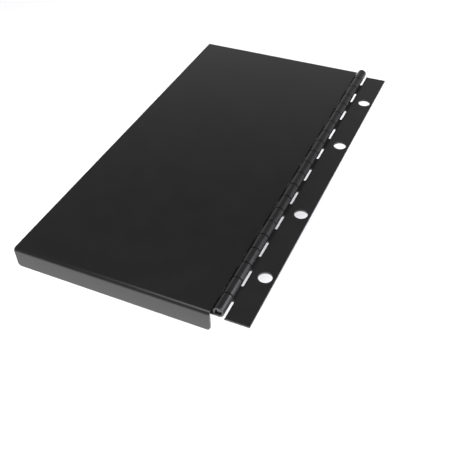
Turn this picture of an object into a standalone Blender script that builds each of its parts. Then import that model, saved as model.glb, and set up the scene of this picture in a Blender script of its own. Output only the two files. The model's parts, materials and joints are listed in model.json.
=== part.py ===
"""Continuous (piano) hinge that joins a flanged sheet-steel door panel to a drilled mounting strip.

Four pieces, as the real hinge comes apart on a bench: the folded door panel, the notched and curled
leaf welded under it, the notched and curled mounting strip, and the long pin through both.

Frame: +Y runs along the pin, +Z is the front of the closed door, and the door lies towards -X.
The origin is the middle of the strip's row of holes, on the strip's flat back face.
"""

import math

import bmesh
import bpy
from mathutils import Vector

MM = 0.001

# Barrel: the knuckles of both leaves, turn by turn along the pin
KNUCKLES = 21
PITCH = 12.45 * MM
JOINT_GAP = 0.8 * MM
BARREL_RADIUS = 3.28 * MM
LEAF_THICKNESS = 1.2 * MM
CURL_SEGMENTS = 22

# Pin
PIN_RADIUS = 1.8 * MM
PIN_RECESS = 1.5 * MM
PIN_SIDES = 24

# Mounting strip, whose flat stands a little below the barrel on a shallow step
STRIP_LENGTH = 261.8 * MM
HOLE_TO_AXIS = 12.3 * MM
HOLE_TO_EDGE = 6.0 * MM
HOLE_RADIUS = 4.1 * MM
HOLE_SIDES = 32
HOLE_PLACES = (-95.25 * MM, -38.1 * MM, 38.1 * MM, 95.25 * MM)
AXIS_ABOVE_STRIP = 2.53 * MM
STEP_ANGLE = math.radians(30)
STEP_INNER_RADIUS = 1.0 * MM
STRIP_CURL_END = math.radians(-42)

# Notches between the knuckles of one leaf
STRIP_NOTCH_REACH = 3.81 * MM
LEAF_NOTCH_REACH = 3.35 * MM
NOTCH_CORNER = 0.8 * MM

# Panel leaf, tangent to the bottom of the barrel
LEAF_REACH = 19.0 * MM
LEAF_CURL_END = math.radians(204)
LEAF_END_CUT = 1.6 * MM
LEAF_END_CUT_GAP = 0.4 * MM

# Door panel, with a flange folded back along each end
PANEL_LENGTH = 265.9 * MM
PANEL_WIDTH = 127.0 * MM
PANEL_THICKNESS = 1.6 * MM
PANEL_TO_AXIS = 4.25 * MM
WELD_GAP = 0.3 * MM
FLANGE_HEIGHT = 14.1 * MM
BEND_RADIUS = 2.3 * MM
BEND_SEGMENTS = 6
FLANGE_CORNER = 2.2 * MM
CORNER_SEGMENTS = 5

AXIS_X = -HOLE_TO_AXIS
AXIS_Z = LEAF_THICKNESS + AXIS_ABOVE_STRIP
BARREL_LENGTH = KNUCKLES * PITCH
BORE_RADIUS = BARREL_RADIUS - LEAF_THICKNESS
CENTRELINE_RADIUS = BARREL_RADIUS - LEAF_THICKNESS / 2
PANEL_EDGE_X = AXIS_X - PANEL_TO_AXIS
PANEL_BACK_Z = AXIS_Z - BORE_RADIUS + WELD_GAP
PANEL_FRONT_Z = PANEL_BACK_Z + PANEL_THICKNESS

BLACK_COAT = (0.024, 0.024, 0.025, 1.0)
BARE_STEEL = (0.30, 0.30, 0.31, 1.0)


def clear_scene():
    for obj in list(bpy.data.objects):
        bpy.data.objects.remove(obj, do_unlink=True)


def new_collection(name):
    collection = bpy.data.collections.new(name)
    bpy.context.scene.collection.children.link(collection)
    return collection


def new_material(name, colour, metallic, roughness):
    material = bpy.data.materials.new(name)
    material.use_nodes = True
    shader = material.node_tree.nodes["Principled BSDF"]
    shader.inputs["Base Color"].default_value = colour
    shader.inputs["Metallic"].default_value = metallic
    shader.inputs["Roughness"].default_value = roughness
    material.diffuse_color = colour
    return material


def arc(centre, radius, start, end, segments):
    """Centreline points along an arc, each with the direction away from the arc's centre."""
    points = []
    for step in range(segments + 1):
        angle = start + (end - start) * step / segments
        outward = Vector((math.cos(angle), math.sin(angle)))
        points.append((centre + outward * radius, outward))
    return points


def sheet_outline(centreline, thickness):
    """Closed outline of a bent sheet: its centreline moved half a thickness to either side."""
    half = thickness / 2
    one_side = [point + normal * half for point, normal in centreline]
    other_side = [point - normal * half for point, normal in centreline]
    return one_side + other_side[::-1]


def extruded_mesh(name, outline, length, matrix_rows, collection, material):
    """Mesh object of an outline drawn in a vertical plane and extruded symmetrically to a length.

    matrix_rows maps (u, v, extrusion) to world X, Y and Z.
    """
    curve = bpy.data.curves.new(name + "_outline", "CURVE")
    curve.dimensions = "2D"
    curve.fill_mode = "BOTH"
    curve.extrude = length / 2
    spline = curve.splines.new("POLY")
    spline.points.add(len(outline) - 1)
    for point, (u, v) in zip(spline.points, outline):
        point.co = (u, v, 0, 1)
    spline.use_cyclic_u = True
    guide = bpy.data.objects.new(name + "_outline", curve)
    collection.objects.link(guide)
    bpy.context.view_layer.update()
    evaluated = guide.evaluated_get(bpy.context.evaluated_depsgraph_get())
    mesh = bpy.data.meshes.new_from_object(evaluated)
    bpy.data.objects.remove(guide, do_unlink=True)
    bpy.data.curves.remove(curve)

    shape = bmesh.new()
    shape.from_mesh(mesh)
    bmesh.ops.remove_doubles(shape, verts=shape.verts, dist=0.001 * MM)
    for vertex in shape.verts:
        vertex.co = Vector([sum(a * b for a, b in zip(row, vertex.co)) for row in matrix_rows])
    bmesh.ops.recalc_face_normals(shape, faces=shape.faces)
    shape.to_mesh(mesh)
    shape.free()
    mesh.name = name
    mesh.materials.clear()
    mesh.materials.append(material)
    obj = bpy.data.objects.new(name, mesh)
    collection.objects.link(obj)
    return obj


def new_cutter(name, build, cutters):
    """Hidden helper object for a Boolean, whose mesh is filled in by build(bmesh)."""
    shape = bmesh.new()
    build(shape)
    bmesh.ops.recalc_face_normals(shape, faces=shape.faces)
    mesh = bpy.data.meshes.new(name)
    shape.to_mesh(mesh)
    shape.free()
    cutter = bpy.data.objects.new(name, mesh)
    cutter.hide_render = True
    cutter.display_type = "WIRE"
    cutters.objects.link(cutter)
    return cutter


def box_cutter(name, low, high, cutters, rounded_x=None, radius=0.0):
    """Box from low to high. Its upright edges on the plane x = rounded_x are rounded."""

    def build(shape):
        bmesh.ops.create_cube(shape, size=1.0)
        for vertex in shape.verts:
            vertex.co = Vector([a + (c + 0.5) * (b - a) for a, b, c in zip(low, high, vertex.co)])
        if rounded_x is None:
            return
        upright = [
            edge
            for edge in shape.edges
            if all(abs(vertex.co.x - rounded_x) < 0.001 * MM for vertex in edge.verts)
            and abs(edge.verts[0].co.z - edge.verts[1].co.z) > MM
        ]
        bmesh.ops.bevel(
            shape,
            geom=upright,
            offset=radius,
            segments=CORNER_SEGMENTS,
            profile=0.5,
            affect="EDGES",
        )

    return new_cutter(name, build, cutters)


def hole_cutter(name, place_y, cutters):
    def build(shape):
        bmesh.ops.create_cone(
            shape,
            cap_ends=True,
            segments=HOLE_SIDES,
            radius1=HOLE_RADIUS,
            radius2=HOLE_RADIUS,
            depth=4 * LEAF_THICKNESS,
        )
        bmesh.ops.translate(shape, verts=shape.verts, vec=(0, place_y, LEAF_THICKNESS / 2))

    return new_cutter(name, build, cutters)


def cut(obj, cutter):
    modifier = obj.modifiers.new("cut " + cutter.name, "BOOLEAN")
    modifier.operation = "DIFFERENCE"
    modifier.solver = "EXACT"
    modifier.object = cutter


def knuckle_span(index):
    """Y of the two joint planes of a knuckle, counted from the near end."""
    start = -BARREL_LENGTH / 2 + index * PITCH
    return start, start + PITCH


def cut_notches(leaf, first_cut, root_x, far_x, cutters):
    """Cuts every second knuckle off a leaf, together with the notch between its curls."""
    for index in range(first_cut, KNUCKLES, 2):
        start, end = knuckle_span(index)
        low = (min(root_x, far_x), start - JOINT_GAP / 2, AXIS_Z - 3 * BARREL_RADIUS)
        high = (max(root_x, far_x), end + JOINT_GAP / 2, AXIS_Z + 2 * BARREL_RADIUS)
        name = f"{leaf.name}_notch_{index:02d}"
        cut(leaf, box_cutter(name, low, high, cutters, rounded_x=root_x, radius=NOTCH_CORNER))


def shade(obj):
    obj.data.shade_smooth()
    obj.data.set_sharp_from_angle(angle=math.radians(35))


def set_origin_on_axis(obj):
    """Moves the object's origin onto the pin's axis and leaves its mesh where it was."""
    origin = Vector((AXIS_X, 0, AXIS_Z))
    for vertex in obj.data.vertices:
        vertex.co -= origin
    obj.location = origin


# Rows that turn (u, v, extrusion) into world axes
SECTION_ACROSS_PIN = ((1, 0, 0), (0, 0, 1), (0, 1, 0))
SECTION_ALONG_PIN = ((0, 0, 1), (1, 0, 0), (0, 1, 0))


def make_mounting_strip(parts, cutters, material):
    """Flat strip, stepped up to the barrel and curled over the pin: left side, top, right side."""
    axis = Vector((AXIS_X, AXIS_Z))
    step_radius = STEP_INNER_RADIUS + LEAF_THICKNESS / 2
    flat_z = LEAF_THICKNESS / 2

    # The bend at the foot of the step touches the flat and the straight run onto the curl.
    bend_z = flat_z + step_radius
    run_offset = CENTRELINE_RADIUS - step_radius
    drop = AXIS_Z - bend_z
    bend_x = AXIS_X + (drop * math.cos(STEP_ANGLE) - run_offset) / math.sin(STEP_ANGLE)
    bend = arc(Vector((bend_x, bend_z)), step_radius, -math.pi / 2, -math.pi / 2 - STEP_ANGLE, 4)
    curl_start = -math.pi / 2 - STEP_ANGLE
    curl = arc(axis, CENTRELINE_RADIUS, curl_start, STRIP_CURL_END - 2 * math.pi, CURL_SEGMENTS)
    edge = (Vector((HOLE_TO_EDGE, flat_z)), Vector((0, -1)))

    outline = sheet_outline([edge] + bend + curl, LEAF_THICKNESS)
    strip = extruded_mesh("mounting_strip", outline, STRIP_LENGTH, SECTION_ACROSS_PIN, parts, material)
    cut_notches(strip, 0, AXIS_X + STRIP_NOTCH_REACH, AXIS_X - 2 * BARREL_RADIUS, cutters)
    for number, place_y in enumerate(HOLE_PLACES, 1):
        cut(strip, hole_cutter(f"mounting_hole_{number}", place_y, cutters))
    return strip


def make_panel_leaf(parts, cutters, material):
    """Flat leaf under the panel, curled over the pin: bottom, right side, top, left side."""
    axis = Vector((AXIS_X, AXIS_Z))
    curl = arc(axis, CENTRELINE_RADIUS, -math.pi / 2, LEAF_CURL_END, CURL_SEGMENTS)
    edge = (Vector((AXIS_X - LEAF_REACH, AXIS_Z - CENTRELINE_RADIUS)), Vector((0, -1)))
    outline = sheet_outline([edge] + curl, LEAF_THICKNESS)
    length = BARREL_LENGTH - JOINT_GAP
    leaf = extruded_mesh("panel_leaf", outline, length, SECTION_ACROSS_PIN, parts, material)
    cut_notches(leaf, 1, AXIS_X - LEAF_NOTCH_REACH, AXIS_X + 2 * BARREL_RADIUS, cutters)
    return leaf


def make_door_panel(parts, material):
    """Flat panel with a flange folded back along each end, its free corners rounded."""
    half_length = PANEL_LENGTH / 2 - PANEL_THICKNESS / 2
    bend_radius = BEND_RADIUS - PANEL_THICKNESS / 2
    bend_y = half_length - bend_radius
    bend_z = PANEL_FRONT_Z - BEND_RADIUS
    flange_z = PANEL_FRONT_Z - FLANGE_HEIGHT

    near_foot = (Vector((-half_length, flange_z)), Vector((-1, 0)))
    near_bend = arc(Vector((-bend_y, bend_z)), bend_radius, math.pi, math.pi / 2, BEND_SEGMENTS)
    far_bend = arc(Vector((bend_y, bend_z)), bend_radius, math.pi / 2, 0, BEND_SEGMENTS)
    far_foot = (Vector((half_length, flange_z)), Vector((1, 0)))
    outline = sheet_outline([near_foot] + near_bend + far_bend + [far_foot], PANEL_THICKNESS)
    panel = extruded_mesh("door_panel", outline, PANEL_WIDTH, SECTION_ALONG_PIN, parts, material)

    shape = bmesh.new()
    shape.from_mesh(panel.data)
    middle_x = PANEL_EDGE_X - PANEL_WIDTH / 2
    bmesh.ops.translate(shape, verts=shape.verts, vec=(middle_x, 0, 0))
    corners = [
        edge
        for edge in shape.edges
        if all(vertex.co.z < flange_z + 0.01 * MM for vertex in edge.verts)
        and abs(edge.verts[0].co.x - edge.verts[1].co.x) < 0.01 * MM
    ]
    bmesh.ops.bevel(
        shape,
        geom=corners,
        offset=FLANGE_CORNER,
        segments=CORNER_SEGMENTS,
        profile=0.5,
        affect="EDGES",
    )
    shape.to_mesh(panel.data)
    shape.free()
    return panel


def make_hinge_pin(parts, material):
    bpy.ops.mesh.primitive_cylinder_add(
        vertices=PIN_SIDES,
        radius=PIN_RADIUS,
        depth=BARREL_LENGTH - JOINT_GAP - 2 * PIN_RECESS,
        rotation=(math.pi / 2, 0, 0),
    )
    pin = bpy.context.object
    pin.name = "hinge_pin"
    pin.data.name = "hinge_pin"
    pin.data.materials.append(material)
    for collection in list(pin.users_collection):
        collection.objects.unlink(pin)
    parts.objects.link(pin)
    return pin


def trim_leaf_ends(leaf, cutters):
    """Behind the panel, the leaf's ends are cut back clear of the inside of the door's bends."""
    end_y = BARREL_LENGTH / 2 - LEAF_END_CUT
    for side in (-1, 1):
        ends = sorted((side * end_y, side * BARREL_LENGTH))
        low = (AXIS_X - 2 * LEAF_REACH, ends[0], AXIS_Z - 2 * BARREL_RADIUS)
        high = (PANEL_EDGE_X - LEAF_END_CUT_GAP, ends[1], AXIS_Z)
        cut(leaf, box_cutter(f"leaf_end_{'near' if side < 0 else 'far'}", low, high, cutters))


def main():
    clear_scene()
    parts = new_collection("piano_hinge")
    cutters = new_collection("cutters")
    strip_coat = new_material("strip_coat", BLACK_COAT, 0.0, 0.45)
    leaf_coat = new_material("leaf_coat", BLACK_COAT, 0.0, 0.42)
    panel_coat = new_material("panel_coat", BLACK_COAT, 0.0, 0.5)
    pin_steel = new_material("pin_steel", BARE_STEEL, 1.0, 0.4)

    strip = make_mounting_strip(parts, cutters, strip_coat)
    leaf = make_panel_leaf(parts, cutters, leaf_coat)
    trim_leaf_ends(leaf, cutters)
    panel = make_door_panel(parts, panel_coat)
    pin = make_hinge_pin(parts, pin_steel)

    # The door turns about this empty, which lies on the pin's axis.
    door = bpy.data.objects.new("door_axis", None)
    door.empty_display_type = "ARROWS"
    door.empty_display_size = 10 * MM
    door.location = (AXIS_X, 0, AXIS_Z)
    parts.objects.link(door)
    for piece in (leaf, panel):
        set_origin_on_axis(piece)
        piece.location = (0, 0, 0)
        piece.parent = door
    pin.location = (0, 0, 0)
    pin.parent = door

    for piece in (strip, leaf, panel, pin):
        shade(piece)


main()
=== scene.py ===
"""Looks for the piano hinge: finer sheet-metal pieces, black powder coat, floor, light and camera.

Everything is in metres in the part's own frame: +Y along the pin, +Z out of the closed door's front,
the door towards -X, the origin on the back of the mounting strip. The four pieces replace the four
CAD nodes one for one, with the same outlines, finer curls and rounded edges.
"""

import json
import math

import bmesh
import bpy
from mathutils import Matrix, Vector


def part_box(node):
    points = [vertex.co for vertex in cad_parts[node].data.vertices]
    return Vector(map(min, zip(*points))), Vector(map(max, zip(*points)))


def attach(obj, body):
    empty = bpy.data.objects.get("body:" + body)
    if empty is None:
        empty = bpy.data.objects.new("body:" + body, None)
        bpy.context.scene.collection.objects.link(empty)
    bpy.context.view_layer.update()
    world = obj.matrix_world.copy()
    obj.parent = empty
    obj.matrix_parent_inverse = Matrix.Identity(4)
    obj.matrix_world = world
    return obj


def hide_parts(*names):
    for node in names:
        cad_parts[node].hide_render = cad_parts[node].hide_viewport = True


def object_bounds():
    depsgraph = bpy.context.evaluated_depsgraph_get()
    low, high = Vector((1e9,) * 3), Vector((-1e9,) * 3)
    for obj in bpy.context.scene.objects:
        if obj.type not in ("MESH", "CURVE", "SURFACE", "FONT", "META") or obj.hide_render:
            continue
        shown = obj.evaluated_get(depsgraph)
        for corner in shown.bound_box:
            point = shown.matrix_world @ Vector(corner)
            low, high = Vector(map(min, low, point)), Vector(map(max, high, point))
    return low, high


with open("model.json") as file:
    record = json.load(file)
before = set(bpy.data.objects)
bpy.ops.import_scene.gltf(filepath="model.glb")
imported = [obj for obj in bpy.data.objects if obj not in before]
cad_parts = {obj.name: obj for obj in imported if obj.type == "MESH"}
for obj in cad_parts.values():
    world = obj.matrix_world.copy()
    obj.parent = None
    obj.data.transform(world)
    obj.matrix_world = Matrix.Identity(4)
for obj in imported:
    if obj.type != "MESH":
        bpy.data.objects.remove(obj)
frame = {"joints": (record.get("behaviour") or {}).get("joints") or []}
CAD_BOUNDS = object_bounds()

MM = 0.001

# Places read from the frame
STRIP_LOW, STRIP_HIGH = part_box("mounting_strip")
LEAF_LOW, LEAF_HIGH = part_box("panel_leaf")
PANEL_LOW, PANEL_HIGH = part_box("door_panel")
PIN_LOW, PIN_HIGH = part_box("hinge_pin")
AXIS = Vector(frame["joints"][0]["pos_m"])

# Sheet and barrel, as in the CAD part
KNUCKLES = 21
PITCH = 12.45 * MM
JOINT_GAP = 0.8 * MM
BARREL_LENGTH = KNUCKLES * PITCH
LEAF_THICKNESS = 1.2 * MM
PANEL_THICKNESS = 1.6 * MM
BARREL_RADIUS = LEAF_HIGH.x - AXIS.x
CENTRELINE_RADIUS = BARREL_RADIUS - LEAF_THICKNESS / 2
CUT_LOW = AXIS.z - 3 * BARREL_RADIUS
CUT_HIGH = AXIS.z + 2 * BARREL_RADIUS
STRIP_NOTCH_REACH = 3.81 * MM
LEAF_NOTCH_REACH = 3.35 * MM
NOTCH_CORNER = 0.8 * MM
STEP_ANGLE = math.radians(30)
STEP_INNER_RADIUS = 1.0 * MM
STRIP_CURL_END = math.radians(-42)
LEAF_CURL_END = math.radians(204)
LEAF_END_CUT = 1.6 * MM
LEAF_END_CUT_GAP = 0.4 * MM
HOLE_RADIUS = 4.1 * MM
HOLE_PLACES = (-95.25 * MM, -38.1 * MM, 38.1 * MM, 95.25 * MM)
BEND_RADIUS = 2.3 * MM
FLANGE_CORNER = 2.2 * MM

# Fineness of the visible meshes
CURL_SEGMENTS = 60
BEND_SEGMENTS = 14
CORNER_SEGMENTS = 8
HOLE_SIDES = 64
PIN_SIDES = 48

# Rounding of the cut edges
EDGE_RADIUS = 0.22 * MM
KNUCKLE_ROUNDING = 0.42 * MM
WIDEST_ROUNDING = 0.5 * MM
EDGE_SEGMENTS = 4
SHARP_ANGLE = math.radians(50)

# Clean-up after a Boolean
SAME_POINT = 0.002 * MM
SAME_PLANE = math.radians(0.5)
SAME_PLACE = 0.01 * MM

# Black powder coat: darkest and lightest colour, range of roughness, and sizes of its noises
PANEL_COAT = ((0.0038, 0.0038, 0.0039, 1), (0.0050, 0.0050, 0.0051, 1))
HINGE_COAT = ((0.0050, 0.0050, 0.0052, 1), (0.0064, 0.0064, 0.0067, 1))
COAT_ROUGHNESS = (0.20, 0.26)
COAT_IOR = 1.5
CLOUD_SCALE = 60
GRAIN_SCALE = 2600
PEEL_SCALE = 700

# Bare steel of the pin
PIN_STEEL = ((0.16, 0.16, 0.165, 1), (0.26, 0.26, 0.265, 1))
PIN_ROUGHNESS = (0.34, 0.5)
PIN_LINE_SCALE = 4000
PIN_LINE_STRETCH = (1.0, 0.02, 1.0)

# Most of a noise's values lie between these two
NOISE_LOW = 0.3
NOISE_HIGH = 0.7

# Camera: where the photograph's viewpoint lies around the part
CAMERA_PLACE = (100.13 * MM, -341.49 * MM, 284.48 * MM)
CAMERA_TURN = (0.8235, 0.0317, 0.4283)
CAMERA_LENS = 54.79

# The floor lies low enough for the door to swing down to its lower limit
FLOOR_DROP = 0.11
FLOOR_SIZE = 40
FLOOR_WHITE = ((0.77, 0.77, 0.77, 1), (0.79, 0.79, 0.79, 1))
FLOOR_ROUGHNESS = 0.7
FLOOR_NOISE_SCALE = 3

# Brightness of the studio's walls, from the horizon (0) to straight up (1)
WALL_BANDS = ((0.0, 0.45), (0.34, 0.56), (0.50, 0.32), (0.68, 0.16), (1.0, 0.14))

# Soft lights: name, place, point aimed at, size (along, up), brightness of the face, colour
LIGHTS = (
    ("key", (0.247, -0.693, 0.594), (-0.03, -0.02, 0), (0.26, 0.26), 66, (1, 1, 1)),
    ("side", (1.70, 0.46, 1.05), (0, 0.46, 0), (1.96, 1.7), 4.5, (0.93, 0.92, 1.0)),
    ("overhead", (0, -0.35, 2.0), (0, -0.35, 0), (1.9, 1.9), 2.9, (1, 1, 1)),
)


def new_material(name):
    material = bpy.data.materials.new(name)
    material.use_nodes = True
    nodes = material.node_tree.nodes
    return material, nodes, material.node_tree.links, nodes["Principled BSDF"]


def noise(nodes, links, place, scale, detail, roughness=0.5):
    node = nodes.new("ShaderNodeTexNoise")
    node.inputs["Scale"].default_value = scale
    node.inputs["Detail"].default_value = detail
    node.inputs["Roughness"].default_value = roughness
    links.new(place, node.inputs["Vector"])
    return node.outputs["Fac"]


def ramp(nodes, links, factor, colours):
    """A noise turned into colours between a dark and a light one."""
    node = nodes.new("ShaderNodeValToRGB")
    for element, position, colour in zip(node.color_ramp.elements, (NOISE_LOW, NOISE_HIGH), colours):
        element.position = position
        element.color = colour
    links.new(factor, node.inputs["Fac"])
    return node.outputs["Color"]


def spread(nodes, links, factor, values):
    """A noise mapped to a range of values."""
    node = nodes.new("ShaderNodeMapRange")
    node.inputs["From Min"].default_value = NOISE_LOW
    node.inputs["From Max"].default_value = NOISE_HIGH
    node.inputs["To Min"].default_value, node.inputs["To Max"].default_value = values
    links.new(factor, node.inputs["Value"])
    return node.outputs["Result"]


def bump(nodes, links, height, strength, distance):
    node = nodes.new("ShaderNodeBump")
    node.inputs["Strength"].default_value = strength
    node.inputs["Distance"].default_value = distance
    links.new(height, node.inputs["Height"])
    return node


def powder_coat(name, colours):
    """Satin black powder coat: faint clouding, fine grain and a soft orange-peel surface."""
    material, nodes, links, shader = new_material(name)
    place = nodes.new("ShaderNodeTexCoord").outputs["Object"]
    clouds = noise(nodes, links, place, CLOUD_SCALE, 3)
    grain = noise(nodes, links, place, GRAIN_SCALE, 2, 0.6)
    peel = noise(nodes, links, place, PEEL_SCALE, 1)

    links.new(ramp(nodes, links, clouds, colours), shader.inputs["Base Color"])
    links.new(spread(nodes, links, grain, COAT_ROUGHNESS), shader.inputs["Roughness"])
    shader.inputs["IOR"].default_value = COAT_IOR

    fine = bump(nodes, links, grain, 0.35, 0.02 * MM)
    coarse = bump(nodes, links, peel, 0.3, 0.03 * MM)
    links.new(fine.outputs["Normal"], coarse.inputs["Normal"])
    links.new(coarse.outputs["Normal"], shader.inputs["Normal"])
    return material


def drawn_steel():
    """Dull steel of the pin, with fine lines along its length."""
    material, nodes, links, shader = new_material("pin_steel_look")
    place = nodes.new("ShaderNodeTexCoord").outputs["Object"]
    stretch = nodes.new("ShaderNodeMapping")
    stretch.inputs["Scale"].default_value = PIN_LINE_STRETCH
    links.new(place, stretch.inputs["Vector"])
    lines = noise(nodes, links, stretch.outputs["Vector"], PIN_LINE_SCALE, 3)
    links.new(ramp(nodes, links, lines, PIN_STEEL), shader.inputs["Base Color"])
    links.new(spread(nodes, links, lines, PIN_ROUGHNESS), shader.inputs["Roughness"])
    shader.inputs["Metallic"].default_value = 1.0
    return material


def arc(centre, radius, start, end, segments):
    """Centreline points along an arc, each with the direction away from the arc's centre."""
    points = []
    for step in range(segments + 1):
        angle = start + (end - start) * step / segments
        outward = Vector((math.cos(angle), math.sin(angle)))
        points.append((centre + outward * radius, outward))
    return points


def sheet_outline(centreline, thickness):
    """Closed outline of a bent sheet: its centreline moved half a thickness to either side."""
    half = thickness / 2
    one_side = [point + normal * half for point, normal in centreline]
    other_side = [point - normal * half for point, normal in centreline]
    return one_side + other_side[::-1]


def prism(name, outline, place, low, high):
    """Closed prism of an outline. place(u, v, along) gives the world point; it runs from low to high."""
    shape = bmesh.new()
    near = [shape.verts.new(place(u, v, low)) for u, v in outline]
    far = [shape.verts.new(place(u, v, high)) for u, v in outline]
    shape.faces.new(near)
    shape.faces.new(far[::-1])
    count = len(outline)
    for index in range(count):
        after = (index + 1) % count
        shape.faces.new((near[index], far[index], far[after], near[after]))
    bmesh.ops.recalc_face_normals(shape, faces=shape.faces)
    mesh = bpy.data.meshes.new(name)
    shape.to_mesh(mesh)
    shape.free()
    obj = bpy.data.objects.new(name, mesh)
    bpy.context.scene.collection.objects.link(obj)
    return obj


def section_across_pin(u, v, along):
    return Vector((u, along, v))


def section_along_pin(u, v, along):
    return Vector((along, u, v))


def plan_view(u, v, along):
    return Vector((u, v, along))


def notch_outline(low, high, rounded_x, radius):
    """Plan outline of a box whose two corners at x = rounded_x are rounded."""
    inward = 1 if rounded_x < (low[0] + high[0]) / 2 else -1
    square_x = high[0] if inward > 0 else low[0]
    centre_x = rounded_x + inward * radius
    side = math.pi if inward > 0 else 0
    quarter = inward * math.pi / 2
    upper = arc(Vector((centre_x, high[1] - radius)), radius, side - quarter, side, CORNER_SEGMENTS)
    lower = arc(Vector((centre_x, low[1] + radius)), radius, side, side + quarter, CORNER_SEGMENTS)
    square_end = [Vector((square_x, low[1])), Vector((square_x, high[1]))]
    return square_end + [point for point, _ in upper + lower]


def box_outline(low, high):
    corners = ((low[0], low[1]), (high[0], low[1]), (high[0], high[1]), (low[0], high[1]))
    return [Vector(corner) for corner in corners]


def circle_outline(centre, radius, sides):
    return [point for point, _ in arc(centre, radius, 0, 2 * math.pi, sides)][:-1]


def cut_away(obj, cutters):
    """Takes all the cutters away from the object in one exact Boolean, and removes them."""
    group = bpy.data.collections.new("cutters of " + obj.name)
    bpy.context.scene.collection.children.link(group)
    for cutter in cutters:
        bpy.context.scene.collection.objects.unlink(cutter)
        group.objects.link(cutter)
    modifier = obj.modifiers.new("cut", "BOOLEAN")
    modifier.operation = "DIFFERENCE"
    modifier.solver = "EXACT"
    modifier.operand_type = "COLLECTION"
    modifier.collection = group
    bpy.context.view_layer.update()
    evaluated = obj.evaluated_get(bpy.context.evaluated_depsgraph_get())
    mesh = bpy.data.meshes.new_from_object(evaluated)
    obj.modifiers.clear()
    old = obj.data
    obj.data = mesh
    bpy.data.meshes.remove(old)
    for cutter in cutters:
        bpy.data.objects.remove(cutter, do_unlink=True)
    bpy.data.collections.remove(group)


def clean_up(obj):
    """Merges doubled points and dissolves the needless edges that a Boolean leaves in flat faces."""
    shape = bmesh.new()
    shape.from_mesh(obj.data)
    bmesh.ops.remove_doubles(shape, verts=shape.verts, dist=SAME_POINT)
    bmesh.ops.dissolve_limit(shape, angle_limit=SAME_PLANE, verts=shape.verts, edges=shape.edges)
    bmesh.ops.recalc_face_normals(shape, faces=shape.faces)
    shape.to_mesh(obj.data)
    shape.free()


def soften(obj, radius_of):
    """Rounds the cut edges, as punching and coating do, and shades the piece smooth.

    radius_of(place) gives the edge radius wanted at a point of the piece.
    """
    shape = bmesh.new()
    shape.from_mesh(obj.data)
    weights = shape.edges.layers.float.new("bevel_weight_edge")
    for edge in shape.edges:
        if len(edge.link_faces) == 2 and edge.calc_face_angle() > SHARP_ANGLE:
            edge[weights] = radius_of((edge.verts[0].co + edge.verts[1].co) / 2) / WIDEST_ROUNDING
    shape.to_mesh(obj.data)
    shape.free()
    bevel = obj.modifiers.new("rounded edges", "BEVEL")
    bevel.width = WIDEST_ROUNDING
    bevel.segments = EDGE_SEGMENTS
    bevel.limit_method = "WEIGHT"
    bevel.miter_outer = "MITER_ARC"
    bevel.harden_normals = True
    obj.data.shade_smooth()


def sheet_edge_radius(place):
    """Knuckle ends are rounder than the other cut edges of the sheet."""
    across = Vector((place.x - AXIS.x, place.z - AXIS.z)).length
    return KNUCKLE_ROUNDING if across < BARREL_RADIUS * 1.05 else EDGE_RADIUS


def plain_edge_radius(_place):
    return EDGE_RADIUS


def finish_piece(obj, material, body, node):
    """Gives a piece its material and its body, and lets it stand for a CAD node."""
    obj.data.materials.clear()
    obj.data.materials.append(material)
    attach(obj, body)
    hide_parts(node)


def knuckle_span(index):
    """Y of the two joint planes of a knuckle, counted from the near end."""
    start = AXIS.y - BARREL_LENGTH / 2 + index * PITCH
    return start, start + PITCH


def notch_cutters(first_cut, root_x, far_x):
    """Cutters for every second knuckle of a leaf, together with the notch between its curls."""
    cutters = []
    for index in range(first_cut, KNUCKLES, 2):
        start, end = knuckle_span(index)
        low = (min(root_x, far_x), start - JOINT_GAP / 2)
        high = (max(root_x, far_x), end + JOINT_GAP / 2)
        outline = notch_outline(low, high, root_x, NOTCH_CORNER)
        cutters.append(prism("notch", outline, plan_view, CUT_LOW, CUT_HIGH))
    return cutters


def make_mounting_strip(material):
    """Flat strip, stepped up to the barrel and curled over the pin: left side, top, right side."""
    flat_z = STRIP_LOW.z + LEAF_THICKNESS / 2
    step_radius = STEP_INNER_RADIUS + LEAF_THICKNESS / 2
    bend_z = flat_z + step_radius
    run_offset = CENTRELINE_RADIUS - step_radius
    bend_x = AXIS.x + ((AXIS.z - bend_z) * math.cos(STEP_ANGLE) - run_offset) / math.sin(STEP_ANGLE)
    turn = -math.pi / 2 - STEP_ANGLE
    bend = arc(Vector((bend_x, bend_z)), step_radius, -math.pi / 2, turn, BEND_SEGMENTS)
    centre = Vector((AXIS.x, AXIS.z))
    curl = arc(centre, CENTRELINE_RADIUS, turn, STRIP_CURL_END - 2 * math.pi, CURL_SEGMENTS)
    edge = (Vector((STRIP_HIGH.x, flat_z)), Vector((0, -1)))
    outline = sheet_outline([edge] + bend + curl, LEAF_THICKNESS)
    strip = prism("coated_strip", outline, section_across_pin, STRIP_LOW.y, STRIP_HIGH.y)

    cutters = notch_cutters(0, AXIS.x + STRIP_NOTCH_REACH, AXIS.x - 2 * BARREL_RADIUS)
    for place_y in HOLE_PLACES:
        circle = circle_outline(Vector((0, place_y)), HOLE_RADIUS, HOLE_SIDES)
        cutters.append(prism("hole", circle, plan_view, CUT_LOW, CUT_HIGH))
    cut_away(strip, cutters)
    clean_up(strip)
    soften(strip, sheet_edge_radius)
    finish_piece(strip, material, "strip", "mounting_strip")


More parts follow.
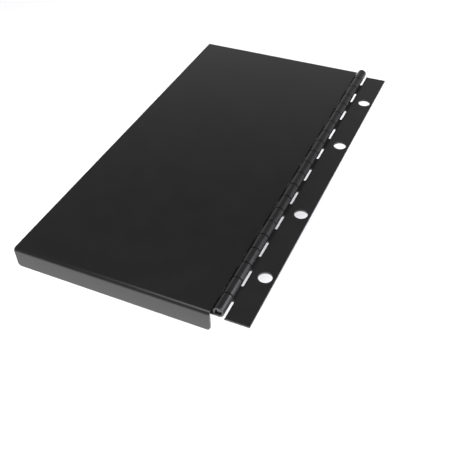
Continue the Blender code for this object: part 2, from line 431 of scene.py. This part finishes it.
def make_panel_leaf(material):
    """Flat leaf under the panel, curled over the pin: bottom, right side, top, left side."""
    centre = Vector((AXIS.x, AXIS.z))
    curl = arc(centre, CENTRELINE_RADIUS, -math.pi / 2, LEAF_CURL_END, CURL_SEGMENTS)
    edge = (Vector((LEAF_LOW.x, AXIS.z - CENTRELINE_RADIUS)), Vector((0, -1)))
    outline = sheet_outline([edge] + curl, LEAF_THICKNESS)
    leaf = prism("coated_leaf", outline, section_across_pin, LEAF_LOW.y, LEAF_HIGH.y)

    cutters = notch_cutters(1, AXIS.x - LEAF_NOTCH_REACH, AXIS.x + 2 * BARREL_RADIUS)
    end_y = BARREL_LENGTH / 2 - LEAF_END_CUT
    for side in (-1, 1):
        ends = sorted((side * end_y, side * BARREL_LENGTH))
        low = (LEAF_LOW.x - LEAF_END_CUT, ends[0])
        high = (PANEL_HIGH.x - LEAF_END_CUT_GAP, ends[1])
        cutters.append(prism("leaf end", box_outline(low, high), plan_view, CUT_LOW, AXIS.z))
    cut_away(leaf, cutters)
    clean_up(leaf)
    soften(leaf, sheet_edge_radius)
    finish_piece(leaf, material, "door", "panel_leaf")


def make_door_panel(material):
    """Flat panel with a flange folded back along each end, its free corners rounded."""
    half_length = PANEL_HIGH.y - PANEL_THICKNESS / 2
    bend_radius = BEND_RADIUS - PANEL_THICKNESS / 2
    bend_y = half_length - bend_radius
    bend_z = PANEL_HIGH.z - BEND_RADIUS
    near_foot = (Vector((-half_length, PANEL_LOW.z)), Vector((-1, 0)))
    near_bend = arc(Vector((-bend_y, bend_z)), bend_radius, math.pi, math.pi / 2, BEND_SEGMENTS)
    far_bend = arc(Vector((bend_y, bend_z)), bend_radius, math.pi / 2, 0, BEND_SEGMENTS)
    far_foot = (Vector((half_length, PANEL_LOW.z)), Vector((1, 0)))
    outline = sheet_outline([near_foot] + near_bend + far_bend + [far_foot], PANEL_THICKNESS)
    panel = prism("coated_panel", outline, section_along_pin, PANEL_LOW.x, PANEL_HIGH.x)

    shape = bmesh.new()
    shape.from_mesh(panel.data)
    corners = [
        edge
        for edge in shape.edges
        if all(vertex.co.z < PANEL_LOW.z + SAME_PLACE for vertex in edge.verts)
        and abs(edge.verts[0].co.x - edge.verts[1].co.x) < SAME_PLACE
    ]
    bmesh.ops.bevel(
        shape,
        geom=corners,
        offset=FLANGE_CORNER,
        segments=2 * CORNER_SEGMENTS,
        profile=0.5,
        affect="EDGES",
    )
    shape.to_mesh(panel.data)
    shape.free()
    soften(panel, plain_edge_radius)
    finish_piece(panel, material, "door", "door_panel")


def make_hinge_pin(material):
    radius = (PIN_HIGH.x - PIN_LOW.x) / 2
    circle = circle_outline(Vector((AXIS.x, AXIS.z)), radius, PIN_SIDES)
    pin = prism("steel_pin", circle, section_across_pin, PIN_LOW.y, PIN_HIGH.y)
    soften(pin, plain_edge_radius)
    finish_piece(pin, material, "door", "hinge_pin")


def make_floor():
    bpy.ops.mesh.primitive_plane_add(size=FLOOR_SIZE, location=(0, 0, CAD_BOUNDS[0][2] - FLOOR_DROP))
    floor = bpy.context.object
    floor.name = "floor"
    material, nodes, links, shader = new_material("floor_white")
    place = nodes.new("ShaderNodeTexCoord").outputs["Object"]
    faint = noise(nodes, links, place, FLOOR_NOISE_SCALE, 2)
    links.new(ramp(nodes, links, faint, FLOOR_WHITE), shader.inputs["Base Color"])
    shader.inputs["Roughness"].default_value = FLOOR_ROUGHNESS
    floor.data.materials.append(material)


def make_world():
    """Studio surroundings: a grey wall all around, darker towards the ceiling."""
    world = bpy.data.worlds.new("studio")
    bpy.context.scene.world = world
    world.use_nodes = True
    nodes = world.node_tree.nodes
    links = world.node_tree.links
    place = nodes.new("ShaderNodeTexCoord").outputs["Generated"]
    split = nodes.new("ShaderNodeSeparateXYZ")
    links.new(place, split.inputs["Vector"])
    bands = nodes.new("ShaderNodeValToRGB")
    elements = bands.color_ramp.elements
    while len(elements) < len(WALL_BANDS):
        elements.new(0.5)
    for element, (position, level) in zip(elements, WALL_BANDS):
        element.position = position
        element.color = (level, level, level, 1)
    links.new(split.outputs["Z"], bands.inputs["Fac"])
    links.new(bands.outputs["Color"], nodes["Background"].inputs["Color"])


def area_light(name, place, target, size, radiance, colour):
    """Rectangular soft light, whose power follows from its size and how bright its face looks."""
    data = bpy.data.lights.new(name, "AREA")
    data.shape = "RECTANGLE"
    data.size, data.size_y = size
    data.energy = radiance * math.pi * size[0] * size[1]
    data.color = colour
    light = bpy.data.objects.new(name, data)
    light.location = place
    light.rotation_euler = (Vector(target) - Vector(place)).to_track_quat("-Z", "Y").to_euler()
    bpy.context.scene.collection.objects.link(light)


def make_camera():
    data = bpy.data.cameras.new("camera")
    data.lens = CAMERA_LENS
    data.sensor_width = 36
    data.clip_start = 0.01
    data.clip_end = 50
    camera = bpy.data.objects.new("camera", data)
    camera.location = CAMERA_PLACE
    camera.rotation_euler = CAMERA_TURN
    bpy.context.scene.collection.objects.link(camera)
    bpy.context.scene.camera = camera


def main():
    make_camera()
    make_floor()
    make_world()
    for light in LIGHTS:
        area_light(*light)

    panel_look = powder_coat("panel_look", PANEL_COAT)
    hinge_look = powder_coat("hinge_look", HINGE_COAT)
    make_mounting_strip(hinge_look)
    make_panel_leaf(hinge_look)
    make_door_panel(panel_look)
    make_hinge_pin(drawn_steel())
    bpy.context.scene.view_settings.view_transform = "Standard"


main()
